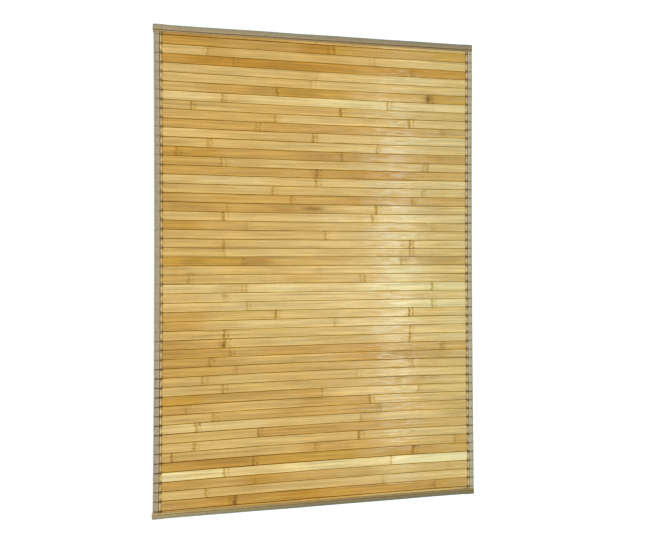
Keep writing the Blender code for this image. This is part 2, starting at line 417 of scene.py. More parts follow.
# Where a slat's mesh has rings, in mm: on both sides of a node, and from a binding's lip inwards.
NODE_STATIONS = (-9.0, -7.0, -5.0, -3.0, -2.0, -1.2, -0.6, 0.0, 0.6, 1.2, 2.0, 3.0, 5.0, 7.0, 9.0)
LIP_STATIONS = (-2.0, -1.0, 0.0, 0.7, 1.5, 2.5, 4.0)
SWITCH = 0.05 * MM  # half the stretch over which a slat's points pass to the next node
TOP_SHARES = (-0.7, -0.45, -0.2, 0.0, 0.2, 0.45, 0.7)  # places across a slat's face
EDGE_WAVE = 0.12 * MM  # how far a slat's long edges waver

# Ranges in millimetres of each slat's lift, rise at its foot edge and crown.
LIFTS, ROLLS, CROWNS = (-0.10, 0.08), (-0.10, 0.10), (0.02, 0.09)

# Ridge at a full node and the groove along its top: height in millimetres, reach.
RIDGE, GROOVE = (0.10, 2.2 * MM), (0.16, 0.8 * MM)

RIGHT_LIGHT_CAST = (0.895, 0.955, 0.99)  # painted cooler light on the right end: what the wood's tone is multiplied by there
CAST_START, CAST_SPAN = 36 * CM, 27 * CM  # from the left side, where that cast begins, and its run
TONE_BLEND = 2.6 * MM  # half the stretch over which a tone passes into the next at a node
FADE_BLEND = 22 * MM  # and where there is none
DRIFT, FINE_DRIFT = 0.05, 0.03  # how much the tone drifts along a slat
WARMTH = (0.02, 0.035, 0.07)  # and how much each part of it drifts beside the others
SEED_STEP = 3.17  # between the patterns of one slat and the next
GAP_SHADES = (0.95, 0.42)  # how dark the painted shade beside the gaps is at the left and at the right end
FAINTEST_GAP = 0.4  # beside one of usual darkness

# Painted shadow on the slats under a side binding's lip, which is deeper at the slats' gaps.
LIP_SHADOW_DEPTHS = (0.50, 0.75)  # under the left and the right lip
LIP_SHADOW_REACH = 1.3 * MM
GAP_LIP_SHADOW = 0.85
GAP_LIP_SHADOW_START, GAP_LIP_SHADOW_RUN = 0.45, 0.42  # across a slat, from its middle line
GAP_LIP_SHADOW_REACH = 1.8 * MM
LIP_SHADOW_SHADE = (0.66, 0.73, 0.88)  # what the full painted shadow takes off the tone
LIP_SHADOW_EDGE = 0.2  # how much of the edges' painted shade the lip's painted shadow adds


def read_chart(chart):
    """{slat number: its words} of a chart that has each slat's words after its number."""
    slats = {}
    for word in chart.split():
        if word.endswith(":"):
            number = int(word[:-1])
            slats[number] = []
        else:
            slats[number].append(word)
    return slats


SLAT_CHART = read_chart(SLATS)


def read_mark(word):
    """(line, second line, pits), (half width, second line's place, light) and stain of a mark."""
    kind = word.rstrip("-0123456789")
    depth = float(word[len(kind):].rstrip("-"))
    side = -1 if word.endswith("-") else 1
    width, twin, twin_share, light, pits, stain = MARKS[kind]
    strength = depth / FULL_DEPTH
    drawn = (strength, strength * twin_share, pits * clamp(depth / PIT_DEPTH, FEWEST_PITS))
    return drawn, (width * MM, side * twin * MM, light * depth / LIGHT_DEPTH), stain * strength


def read_slat(words):
    """(tones, changes, nodes) of a charted slat: changes of tone as (x, mark or None)."""
    tones, changes = [], []
    for word in words:
        if word in TONES:
            tones[len(changes):] = [word]
        elif word[0].isdigit():
            changes.append((float(word) * CM - SIDE_X, None))
            tones.append(tones[-1])
        else:
            changes[-1] = (changes[-1][0], word)
    nodes = [(x, *read_mark(mark)) for x, mark in changes if mark]
    return tones, changes, nodes


def slat_stations(nodes, low, high, tips):
    """Places along a slat: even steps, closer at nodes and at the bindings' lips."""
    steps = int((high - low) / SLAT_STEP)
    places = [low + (high - low) * step / steps for step in range(steps + 1)]
    for x, *_ in nodes:
        places += [x + offset * MM for offset in NODE_STATIONS]
    for (x, *_), (following, *_) in zip(nodes, nodes[1:]):
        places += [(x + following) / 2 - SWITCH, (x + following) / 2 + SWITCH]
    for tip in tips:
        places += [tip - offset * MM * (1 if tip > 0 else -1) for offset in LIP_STATIONS]
    kept = [low]
    for place in sorted(places):
        if kept[-1] + SWITCH < place <= high:
            kept.append(place)
    return kept


def slat_section():
    """(side, inset, share, up, edge) points round a slat's section.

    side is -1 at the head edge and 1 at the foot edge, inset is measured in from that edge,
    and share runs between the two edges where it isn't None. edge is 1 on the flanks.
    """
    height = SLAT_TOP - SLAT_BASE
    corner = []
    for turn in (radians(18 * step) for step in range(6)):
        up = height - SLAT_ROUND * (1 - sin(turn))
        corner.append((SLAT_ROUND * (1 - cos(turn)), None, up, cos(turn) ** 2))
    return [
        *((-1, *point) for point in corner),
        *((0, 0.0, share, height, 0.0) for share in TOP_SHARES),
        *((1, *point) for point in reversed(corner)),
        (1, 0.0, None, SLAT_CHAMFER, 1.0),
        (1, SLAT_CHAMFER, None, 0.0, 1.0),
        (-1, SLAT_CHAMFER, None, 0.0, 1.0),
        (-1, 0.0, None, SLAT_CHAMFER, 1.0),
    ]


def slat_edges(number, x, ends):
    """y of a slat's head edge (-1) and foot edge (1) at x. ends are those of its packed box."""
    edges = {}
    for side, gap in ((-1, number - 1), (1, number)):
        wave = EDGE_WAVE * ripple(x * 11, 5.0 + side, gap)
        half_gap = SLAT_GAP / 2 * max(unevenness(gap, x), 1.0)
        between = 0 < gap < len(SLAT_CHART)
        edges[side] = gap_y(gap, x) + side * half_gap + wave if between else ends[side]
    return edges


def smudge_at(number, x, share):
    """Strength of the smudges of a slat at a point, 0 to 1."""
    total = 0.0
    for centre, reach, place, spread, strength in SMUDGES.get(number, ()):
        along = (x + SIDE_X - centre * CM) / (reach * CM)
        total += strength * exp(-abs(along) ** 3) * bell(share - place, spread)
    return clamp(total)


def lip_shadow_at(x, share, tips):
    """How deep in the painted shadow under the bindings' lips a point of a slat's face lies, 0 to 1."""
    near_gap = clamp((abs(share) - GAP_LIP_SHADOW_START) / GAP_LIP_SHADOW_RUN)
    lip_shadow = 0.0
    for tip, direction, depth in zip(tips, (1, -1), LIP_SHADOW_DEPTHS):
        reach = max((x - tip) * direction, 0.0)
        lip_shadow += depth * bell(reach, LIP_SHADOW_REACH)
        lip_shadow += GAP_LIP_SHADOW * near_gap * bell(reach, GAP_LIP_SHADOW_REACH)
    return clamp(lip_shadow)


def tone_at(tones, changes, x):
    """Linear tone at x, passing softly from one stretch to the next, under a painted cooler light
    towards the right end.
    """
    colour = lit(TONES[tones[0]])
    for tone, (place, mark) in zip(tones[1:], changes):
        blend = TONE_BLEND if mark else FADE_BLEND
        share = ease(0.5 + (x - place) / (2 * blend))
        colour = blend_tints(colour, lit(TONES[tone]), share)
    cast = ease((x + SIDE_X - CAST_START) / CAST_SPAN)
    return [part * mix(1.0, weaker, cast) for part, weaker in zip(colour, RIGHT_LIGHT_CAST)]


def tint_at(number, x, share, tone, lip_shadow):
    """Tint of a point of a slat: its tone at x, smudged, in warmer and cooler drifts, darkened by the
    painted shadow under the lips.
    """
    smudge = smudge_at(number, x, share)
    hue = ripple(x * 4 + share * 2.0, 7.0 + share, number)
    return [
        part * (1 - (1 - smudged) * smudge) * (1 + warmth * hue) * (1 - taken * lip_shadow)
        for part, smudged, warmth, taken in zip(tone, SMUDGE_SHADE, WARMTH, LIP_SHADOW_SHADE)
    ]


def lip_x(side, y):
    """x of the inner edge of a side binding."""
    return side * (SIDE_X - COVERS["left" if side < 0 else "right"] + side_bow(side, y))


def make_slat(number, words, material):
    tones, changes, nodes = read_slat(words)
    rng = Random(number)
    low_corner, high_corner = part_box(f"slat_{number:02d}")
    middle = (low_corner.y + high_corner.y) / 2
    low = -SLAT_END - min(0.0, side_bow(-1, middle))
    high = SLAT_END + min(0.0, side_bow(1, middle))
    tips = (lip_x(-1, middle), lip_x(1, middle))
    ends = {-1: high_corner.y, 1: low_corner.y}
    lift, roll, crown = (rng.uniform(*limits) * MM for limits in (LIFTS, ROLLS, CROWNS))
    section = slat_section()

    rings, looks = [], []
    for x in slat_stations(nodes, low, high, tips):
        node_x, drawn, zone, stain = min(nodes, key=lambda node: abs(node[0] - x))
        offset = x - node_x
        drift = 1 + DRIFT * ripple(x * 9, 0.0, number) + FINE_DRIFT * ripple(x * 31, 3.0, number)
        tone = [part * drift for part in tone_at(tones, changes, x)]
        # Painted shade of the gap beside each long edge, on wood that is also worn darker there.
        edge_shades = {-1: gap_shade(number - 1, x), 0: 0.0, 1: gap_shade(number, x)}
        raised, dipped = (rise * bell(offset, reach) for rise, reach in (RIDGE, GROOVE))
        ridge = (raised - dipped) * MM * drawn[0]
        edges = slat_edges(number, x, ends)
        half = (edges[-1] - edges[1]) / 2
        centre = (edges[-1] + edges[1]) / 2
        ring = []
        for side, inset, share, up, edge in section:
            if share is None:
                y = edges[side] + side * inset
                share = side * (1 - inset / half)
            else:
                y = centre - share * half
            if up > SLAT_ROUND:
                up += lift + roll * share + crown * (1 - share * share) + ridge
            ring.append((x, y, SLAT_BASE + up))
            lip_shadow = lip_shadow_at(x, share, tips)
            tint = tint_at(number, x, share, tone, lip_shadow)
            # The lips' painted shadow also adds to the edges' painted shade.
            edge = max(edge * edge_shades[side], LIP_SHADOW_EDGE * lip_shadow)
            looks.append((tint, drawn, edge, offset, zone, stain, number * SEED_STEP))
        rings.append(ring)

    mesh = ring_mesh(f"bamboo_{number:02d}", rings)
    set_attributes(mesh, ("tint", "marks", "edge", "offset", "zone", "stain", "seed"), looks)
    add_piece(mesh.name, mesh, material, [f"slat_{number:02d}"])
    return mesh.name


def make_slats(material):
    return [make_slat(number, words, material) for number, words in SLAT_CHART.items()]


# ---------------------------------------------------------------- binding cloth

UPPER_BEND = 1.9 * MM
LOWER_BEND = 0.8 * MM
LIP_ROLL = 0.45 * MM  # radius of the turned edge
LIP_RISE = 0.08 * MM  # how much the lip swells above the strip's upper face
FACE_START, FACE_END = 0.9 * MM, 1.3 * MM  # of the upper face, from the bend and from the seam
LIP_START, LIP_END = 0.9 * MM, 0.8 * MM  # of the lip, from the seam and from its edge
LIP_DRAW = 0.9 * MM  # how far a full crease draws the lip back
TIP_GAP = 0.3 * MM  # between a side strip's lower leg and the end strips
# Where a side strip's mesh has rings, in mm from a slat gap, and in from the strip's end.
CREASE_STATIONS = (-2.7, -1.7, -1.1, -0.7, -0.35, 0.0, 0.35, 0.7, 1.1, 1.7, 2.7)
PLAIN_STATIONS = (4.4, 6.2, 8.6, 11.0, 12.8)
TIP_STATIONS = (3 * MM, 8 * MM, 12 * MM)
LEAST_STATION = 0.2 * MM  # between two rings

PILLOW, PILLOW_REACH = 0.16 * MM, 4.5 * MM  # swell between the slats' gaps
PUCKER, FINE_PUCKER = 0.10 * MM, 0.06 * MM
CREASE_DEPTH, CREASE_REACH = 0.80 * MM, 1.0 * MM
BEAT_REACH = 4.0 * MM  # how far from a gap the painted shade on the lip reaches
CREASE_WAVE = 0.35 * MM  # how far a crease wavers across the strip
CREASE_DRAWS = (0.75, 1.15)  # range that each crease's strength is multiplied by
SLANTS = (-0.10, 0.10)  # range of the creases' slants

RAMP_START, RAMP = 0.4 * MM, 9 * MM  # where an end strip comes down from a side strip, and its run
SWELL, END_PUCKER = 0.10 * MM, 0.07 * MM
SWAY = 0.4 * MM  # of an end strip's outer edge
END_STEPS = 260  # rings along an end strip
# Rings that close an end strip: how far in from its end, and how much smaller they are.
END_RINGS = ((0.0, 0.55 * MM), (0.18 * MM, 0.22 * MM), (0.5 * MM, 0.0), (1.0 * MM, 0.0))

STITCH_DEPTH, STITCH_LENGTH, STITCH_PITCH = 0.35 * MM, 3.1 * MM, 3.7 * MM
THREAD_RADIUS, THREAD_SIDES = 0.32 * MM, 7
# The channel that the stitches draw in: place across it in mm, share of its depth, region.
CHANNEL = (
    (-0.9, 0.0, "top"), (-0.55, 0.7, "stitch"), (0.0, 1.0, "stitch"), (0.55, 0.7, "stitch"),
    (0.9, 0.0, "lip"),
)
# Rings of a stitch, which dives in at both ends: share of its length, then size and dive in radii.
STITCH_RINGS = (
    (0.0, 0.35, 1.2), (0.1, 0.85, 0.35), (0.3, 1.0, 0.0),
    (0.7, 1.0, 0.0), (0.9, 0.85, 0.35), (1.0, 0.35, 1.2),
)


def bend(inward, up, radius, start, turn_by, count):
    """(inward, up, normal inward, normal up) of points round a bend about a centre, in degrees."""
    turns = [radians(start - turn_by * step) for step in range(count)]
    return [(inward + radius * cos(t), up + radius * sin(t), cos(t), sin(t)) for t in turns]


def strip_profile(cover, stitch, height, closed):
    """Points round a folded strip as (inward, up, normal inward, normal up, give, region).

    They run from the lower tip round the outer face to the upper tip and back inside. give
    is how much of the relief a point takes.
    """
    under = height - CLOTH
    points = [(inward, 0.0, 0, -1, 0.0, "base") for inward in (cover, cover * 0.5)]
    for step, point in enumerate(bend(LOWER_BEND, LOWER_BEND, LOWER_BEND, 270, 30, 4)):
        points.append((*point, step / 8, "rim"))
    points.append((0.0, (LOWER_BEND + height - UPPER_BEND) / 2, -1, 0, 0.5, "rim"))
    for step, point in enumerate(bend(UPPER_BEND, height - UPPER_BEND, UPPER_BEND, 180, 18, 6)):
        points.append((*point, 0.5 + step / 10, "rim" if step < 3 else "top"))
    first = UPPER_BEND + FACE_START
    last = stitch - FACE_END
    for step in range(6):
        points.append((first + (last - first) * step / 5, height, 0, 1, 1.0, "top"))
    for offset, depth, region in CHANNEL:
        points.append((stitch + offset * MM, height - depth * STITCH_DEPTH, 0, 1, 0.9, region))
    for share in (0.33, 0.67, 1.0):
        inward = mix(stitch + LIP_START, cover - LIP_END, share)
        points.append((inward, height + LIP_RISE * share, 0, 1, 0.8, "lip"))
    for point in bend(cover - LIP_ROLL, height - LIP_ROLL, LIP_ROLL, 90, 30, 4):
        points.append((*point, 0.7, "lip"))
    points.append((cover - 0.05 * MM, under, 1, 0, 0.6, "lip"))
    if closed:
        third = (under - CLOTH) / 3
        for up in (under - third, CLOTH + third, CLOTH + third / 2):
            points.append((cover, up, 1, 0, 0.0, "inside"))
    else:
        points.append((cover * 0.5, under, 0, -1, 0.0, "inside"))
        points.append((CLOTH, under, 1, -1, 0.0, "inside"))
        points.append((CLOTH, CLOTH, 1, 1, 0.0, "inside"))
    points.append((cover, CLOTH, 1, 0, 0.0, "inside"))
    return points


def arc_lengths(points):
    """Distance round a profile to each of its points."""
    lengths = [0.0]
    for before, point in zip(points, points[1:]):
        step = ((point[0] - before[0]) ** 2 + (point[1] - before[1]) ** 2) ** 0.5
        lengths.append(lengths[-1] + step)
    return lengths


def strip_tint(kind, region, share, crease, shade):
    """Linear tint of a point of the cloth. share runs from the outer edge to the seam."""
    outer, inner, lip = CLOTH_TINTS[kind]
    tint = blend_tints(outer, inner, ease(share))
    if region == "lip":
        tint = blend_tints(inner, lip, LIP_SHARE)
    elif region == "stitch":
        tint = tuple(part * dark for part, dark in zip(inner, SEAM_SHADES[kind]))
    elif region == "rim":
        # Painted shade on the fold's outer face.
        tint = blend_tints(outer, SHADED_RIM_TINT, RIM_SHARE)
    elif region == "base":
        tint = tuple(part * BASE_SHADE for part in outer)
        crease = 0.0
    # Painted shade: the cloth darkens in its creases.
    shaded = [part * shade * (1 - taken * crease) for part, taken in zip(tint, CREASE_SHADE)]
    return display([clamp(part, 0, 255) for part in shaded], STUDIO_LIGHT, CLOTH_GLEAM)


class Strip:
    """A folded strip of binding cloth. side is -1 on the left and at the foot, else 1.

    A place on it is (inward, along, up). inward is measured from the strip's outer edge, and
    along and up are the rug's own.
    """

    def __init__(self, kind, side):
        self.kind = kind
        self.side = side
        self.cover = COVERS[kind]
        self.stitch = self.cover - INSETS[kind]

    def ring(self, along, closed=False, shrink=0.0):
        """Points of the strip's section at a place along it, with their tints and weave places."""
        profile = strip_profile(self.cover, self.stitch, self.height(along), closed)
        ups = [point[1] for point in profile]
        centre = (self.cover / 2, (min(ups) + max(ups)) / 2)
        points, looks = [], []
        for (inward, up, side, rise, give, region), length in zip(profile, arc_lengths(profile)):
            relief = self.relief(inward, along) * give
            crease = self.crease(inward, along)
            drawn = inward + side * relief - (crease * LIP_DRAW if region == "lip" else 0.0)
            raised = up + rise * relief
            if shrink:
                drawn += shrink if drawn < centre[0] else -shrink
                raised += shrink if raised < centre[1] else -shrink
            points.append(self.place(drawn, along, raised))
            shade = self.shade(along, region) * (1 + 0.05 * ripple(along * 320, inward * 320, 31))
            tint = strip_tint(self.kind, region, inward / self.stitch, crease, shade)
            looks.append((tint, (along, length, 0.0)))
        return points, looks

    def make(self, material):
        """The strip's piece, in place of its binding."""
        rings = self.rings()
        mesh = ring_mesh(f"cloth_{self.kind}", [points for points, _ in rings])
        set_attributes(mesh, ("tint", "weave"), [look for _, looks in rings for look in looks])
        return add_piece(mesh.name, mesh, material, [f"binding_{self.kind}"])


class SideStrip(Strip):
    """The binding along a long side, creased at each gap between slats."""

    def __init__(self, kind, side):
        super().__init__(kind, side)
        rng = Random(71 if side < 0 else 72)
        self.gaps = []
        for gap in range(1, len(SLAT_CHART)):
            charted = next(strength for last, strength in CREASES[kind] if gap <= last)
            strength = charted * rng.uniform(*CREASE_DRAWS)
            self.gaps.append((gap_y(gap, side * SIDE_X), strength, rng.uniform(*SLANTS)))

    def from_gap(self, inward, along):
        """(distance from the nearest slat gap's crease, its strength)."""
        gaps = self.gaps
        index = int(clamp(round((gaps[0][0] - along) / SLAT_PITCH), 0, len(gaps) - 1))
        choices = range(max(index - 1, 0), min(index + 2, len(gaps)))
        index = min(choices, key=lambda choice: abs(gaps[choice][0] - along))
        place, strength, slant = gaps[index]
        wave = CREASE_WAVE * ripple(inward * 260, index * 3.3, 5 + self.side)
        return along - place - slant * (inward - 0.5 * SIDE_COVER) + wave, clamp(strength)

    def relief(self, inward, along):
        distance, strength = self.from_gap(inward, along)
        pillow = PILLOW * (1 - bell(distance, PILLOW_REACH))
        pucker = PUCKER * ripple(along * 190, inward * 120, 11 + self.side)
        pucker += FINE_PUCKER * ripple(along * 620, inward * 300, 13 + self.side)
        return pillow + pucker - CREASE_DEPTH * strength * bell(distance, CREASE_REACH)

    def crease(self, inward, along):
        distance, strength = self.from_gap(inward, along)
        return strength * bell(distance, CREASE_WIDTHS[self.kind])

    def shade(self, along, region):
        """The lip and the seam beat: painted shade at each gap and painted light between."""
        if region not in ("lip", "stitch"):
            return 1.0
        distance, _ = self.from_gap(SIDE_COVER, along)
        beat = LIP_LIGHT_BEATS[self.kind] * (1 - 2 * bell(distance, BEAT_REACH))
        return 1 + beat + 0.8 * LIP_LIGHT_BEATS[self.kind] * ripple(along * 300, 0.0, 51 + self.side)

    def place(self, inward, along, up):
        return self.side * (SIDE_X + side_bow(self.side, along) - inward), along, up

    def height(self, along):
        return LEFT_HIGH.z - SEAT_DROP

    def rings(self):
        """Rings close together at each slat gap and wider between."""
        end = LEFT_HIGH.y
        places = [end - offset for offset in TIP_STATIONS]
        for centre, _, _ in self.gaps:
            places += [centre - offset * MM for offset in CREASE_STATIONS + PLAIN_STATIONS]
        kept = [end]
        for place in sorted(places, reverse=True):
            if kept[-1] - LEAST_STATION > place > LEAST_STATION - end:
                kept.append(place)
        return [self.ring(along) for along in (*kept, -end)]

    def make(self, material):
        """The strip, with its lower leg cut away where the head and foot strips lie."""
        piece = super().make(material)
        for end in (-1, 1):
            bpy.ops.mesh.primitive_cube_add(size=1.0)
            cutter = bpy.context.active_object
            cutter.scale = (3 * SIDE_COVER, 2 * END_COVER, 2 * SLAT_BASE)
            cutter.location = (self.side * SIDE_X, end * (END_Y - TIP_GAP), 0.0)
            cut = piece.modifiers.new("notch", "BOOLEAN")
            cut.operation = "DIFFERENCE"
            cut.solver = "EXACT"
            cut.object = cutter
            bpy.context.view_layer.objects.active = piece
            bpy.ops.object.modifier_apply(modifier=cut.name)
            bpy.data.objects.remove(cutter)
        return piece


class EndStrip(Strip):
    """The binding along the head or the foot, with its two ends turned in and closed."""

    def relief(self, inward, along):
        swell = SWELL * ripple(along * 45, inward * 60, 21 + self.side)
        return swell + END_PUCKER * ripple(along * 260, inward * 190, 23 + self.side)

    def crease(self, inward, along):
        return 0.0

    def shade(self, along, region):
        first, second, third = CLOTH_SHADES[self.kind]
        share = along / SIDE_X
        return mix(second, third, share) if share > 0 else mix(second, first, -share)

    def place(self, inward, along, up):
        sway = SWAY * ripple(along * 12, 1.0, 41 + self.side)
        return along, self.side * (END_Y - inward - END_DRAWS[self.side] + sway), up

    def height(self, along):
        """It lies over the side strips at both ends and comes down beside them."""
        raised = HEAD_HIGH.z - SEAT_DROP
        plain = LEFT_HIGH.z - SEAT_DROP
        start = SIDE_COVER + RAMP_START
        return plain + (raised - plain) * (1 - ease((SIDE_X - abs(along) - start) / RAMP))

    def rings(self):
        outer = HEAD_HIGH.x
        inner = outer - END_RINGS[-1][0]
        first = [self.ring(offset - outer, True, shrink) for offset, shrink in END_RINGS]
        last = [self.ring(outer - offset, True, shrink) for offset, shrink in reversed(END_RINGS)]
        steps = [-inner + 2 * inner * step / END_STEPS for step in range(END_STEPS + 1)]
        return [*first, *(self.ring(along) for along in steps), *last]


def stitch_points(start, finish):
    """Points of the rings round one stitch."""
    direction = (finish - start).normalized()
    across = direction.cross(Vector((0, 0, 1))).normalized()
    up = across.cross(direction)
    points = []
    for share, size, dip in STITCH_RINGS:
        centre = start.lerp(finish, share) - up * dip * THREAD_RADIUS
        for side in range(THREAD_SIDES):
            turn = 2 * pi * side / THREAD_SIDES
            points.append(centre + (across * cos(turn) + up * sin(turn)) * THREAD_RADIUS * size)
    return points


def make_stitches(strip, low, high):
    """One row of stitches along a strip, joined into one mesh."""
    name = f"stitches_{strip.kind}"
    rng = Random(len(name))
    points, faces = [], []
    along = low
    while along + STITCH_LENGTH < high:
        ends = []
        for place in (along, along + STITCH_LENGTH * rng.uniform(0.92, 1.04)):
            drift = rng.uniform(-0.08, 0.08) * MM
            surface = strip.height(place) + strip.relief(strip.stitch, place)
            up = surface - STITCH_DEPTH + 0.55 * THREAD_RADIUS
            ends.append(Vector(strip.place(strip.stitch + drift, place, up)))
        faces += tube_faces(len(STITCH_RINGS), THREAD_SIDES, start=len(points))
        points += stitch_points(*ends)
        along += STITCH_PITCH * rng.uniform(0.96, 1.05)
    mesh = smooth_mesh(name, points, faces)
    return add_piece(name, mesh, thread_material(strip.kind))


# ---------------------------------------------------------------- materials

# Noises of the wood: waves a metre along, across and up a slat, finer layers, their strength.
GRAINS = {
    "bands": ((3.0, 210.0, 40.0), 3.0, 0.6),
    "fibres": ((9.0, 1100.0, 300.0), 3.0, 0.65),
    "threads": ((11.0, 430.0, 90.0), 2.0, 0.5),
    "vessels": ((45.0, 2600.0, 900.0), 1.0, 0.5),
    "cloud": ((16.0, 60.0, 40.0), 2.0, 0.5),
    "specks": ((190.0, 430.0, 90.0), 2.0, 0.5),
    "wave": ((60.0, 420.0, 60.0), 2.0, 0.5),
    "bow": ((14.0, 85.0, 20.0), 1.0, 0.5),
    "wear": ((130.0, 380.0, 60.0), 2.0, 0.5),
    "pits": ((330.0, 460.0, 200.0), 1.0, 0.5),
    "swells": ((60.0, 400.0, 60.0), 2.0, 0.5),
    "streaks": ((55.0, 430.0, 90.0), 2.0, 0.6),
}
# How bright the wood is from a low to a high value of them.
GRAIN_TONES = {
    "bands": (0.3, 0.7, 0.87, 1.10),
    "fibres": (0.25, 0.75, 0.90, 1.08),
    "cloud": (0.3, 0.7, 0.955, 1.045),
    "threads": (0.3, 0.7, 0.78, 1.18),
    "specks": (0.3, 0.7, 0.95, 1.05),
}
# What full marks on the wood multiply its tint by.
WOOD_SHADES = {
    "vessel": (0.62, 0.50, 0.34),
    "warm band": (0.98, 0.92, 0.78),
    "stain": (0.74, 0.63, 0.24),
    "line": (0.60, 0.51, 0.10),
    "second line": (0.60, 0.51, 0.18),
    "pit": (0.42, 0.33, 0.06),
    # Edges beside the gaps: worn wood, and painted shade of the gaps.
    "worn and shaded edge": (1.0, 0.99, 0.04),
    "gap": (0.29, 0.03, 0.0),
}
NODE_WAVE = 1.0 * MM  # how far a node's lines waver
NODE_BOW = 2.1 * MM  # and how far they bow
WEAVE_PITCH = 0.52 * MM
TWIST_PITCH = 0.45 * MM
FLOOR_GLOW = 0.20  # lifts the floor to the white of a lit sweep


def sign(operation):
    """A method that adds a Math node."""
    return lambda self, *others: self.graph.math(operation, self, *others)


class Wire:
    """A node's output, on which arithmetic adds nodes."""

    __add__ = sign("ADD")
    __sub__ = sign("SUBTRACT")
    __mul__ = sign("MULTIPLY")
    __truediv__ = sign("DIVIDE")
    __pow__ = sign("POWER")
    __abs__ = sign("ABSOLUTE")
    sine = sign("SINE")
    least = sign("MINIMUM")
    most = sign("MAXIMUM")

    def __init__(self, graph, socket):
        self.graph = graph
        self.socket = socket

    def span(self, low, high, to_low, to_high, smooth=False):
        """It taken from low..high to to_low..to_high, held at both ends."""
        values = enumerate((self, low, high, to_low, to_high))
        kind = "SMOOTHSTEP" if smooth else "LINEAR"
        return self.graph.wire("ShaderNodeMapRange", values, interpolation_type=kind)


class Graph:
    """Short calls for building a material's nodes."""

    def __init__(self, name):
        self.material = bpy.data.materials.new(name)
        self.material.use_nodes = True
        self.tree = self.material.node_tree
        self.shader = self.tree.nodes["Principled BSDF"]

    def put(self, socket, value):
        if isinstance(value, Wire):
            self.tree.links.new(value.socket, socket)
        else:
            socket.default_value = value

    def node(self, kind, inputs=(), **settings):
        made = self.tree.nodes.new(kind)
        for key, value in settings.items():
            setattr(made, key, value)
        for key, value in dict(inputs).items():
            self.put(made.inputs[key], value)
        return made

    def wire(self, kind, inputs=(), output=0, **settings):
        """One output of a new node."""
        return Wire(self, self.node(kind, inputs, **settings).outputs[output])

    def math(self, operation, *values):
        return self.wire("ShaderNodeMath", enumerate(values), operation=operation)

    def place(self):
        return self.wire("ShaderNodeTexCoord", output="Object")

    def attribute(self, name, output="Fac"):
        return self.wire("ShaderNodeAttribute", output=output, attribute_name=name)

    def parts(self, vector):
        node = self.node("ShaderNodeSeparateXYZ", {"Vector": vector})
        return [Wire(self, output) for output in node.outputs]

    def noise(self, position, scale, seed, detail=2.0, rough=0.5):
        """Noise stretched by a scale for each axis, 0 to 1, different for each seed."""
        mapped = self.wire("ShaderNodeMapping", {"Vector": position, "Scale": scale})
        inputs = {"Vector": mapped, "W": seed, "Scale": 1.0, "Detail": detail, "Roughness": rough}
        return self.wire("ShaderNodeTexNoise", inputs, noise_dimensions="4D")

    def tinted(self, colour, factor, shade):
        """colour times shade, by a factor from 0 to 1."""
        inputs = {0: factor, 6: colour, 7: (*shade, 1.0)}
        return self.wire("ShaderNodeMix", inputs, 2, data_type="RGBA", blend_type="MULTIPLY")

    def scaled(self, colour, factor):
        """colour times a number."""
        return self.wire("ShaderNodeVectorMath", {0: colour, "Scale": factor}, operation="SCALE")

    def bump(self, height, distance, **normal):
        return self.wire("ShaderNodeBump", {"Height": height, "Distance": distance, **normal})

    def finish(self, **values):
        for key, value in values.items():
            self.put(self.shader.inputs[key.replace("_", " ")], value)
        return self.material


def node_marks(graph, grain):
    """How strong a node's line, its second line, the lighter wood between them, its pits and
    its stain are at a point."""
    offset = graph.attribute("offset")
    line_strength, twin_strength, pit_strength = graph.parts(graph.attribute("marks", "Vector"))
    half_width, twin, light = graph.parts(graph.attribute("zone", "Vector"))
    bent = offset + grain["wave"].span(0.2, 0.8, -NODE_WAVE, NODE_WAVE)
    bent += grain["bow"].span(0.2, 0.8, -NODE_BOW, NODE_BOW)
    away = abs(bent)
    beyond = abs(bent - twin)
    between = abs(bent - twin * 0.58)
    wear = grain["wear"].span(0.34, 0.62, 0.55, 1.45)

    def stroke(distance, width):
        """1 on a line and 0 beyond about twice its half width."""
        return (distance / width).span(0.3, 1.7, 1.0, 0.0, smooth=True)

    line = stroke(away, half_width) * line_strength * wear
    second = stroke(beyond, half_width) * twin_strength * wear
    lighter = stroke(between, 2.4 * MM) * light
    near = away.least(beyond).span(1.5 * MM, 5.0 * MM, 1.0, 0.0)
    pits = grain["pits"].span(0.54, 0.63, 0.0, 1.0) * (near * pit_strength)
    stain = away.span(0.5 * MM, 8.0 * MM, 1.0, 0.0, smooth=True) * graph.attribute("stain")
    return line, second, lighter, pits, stain


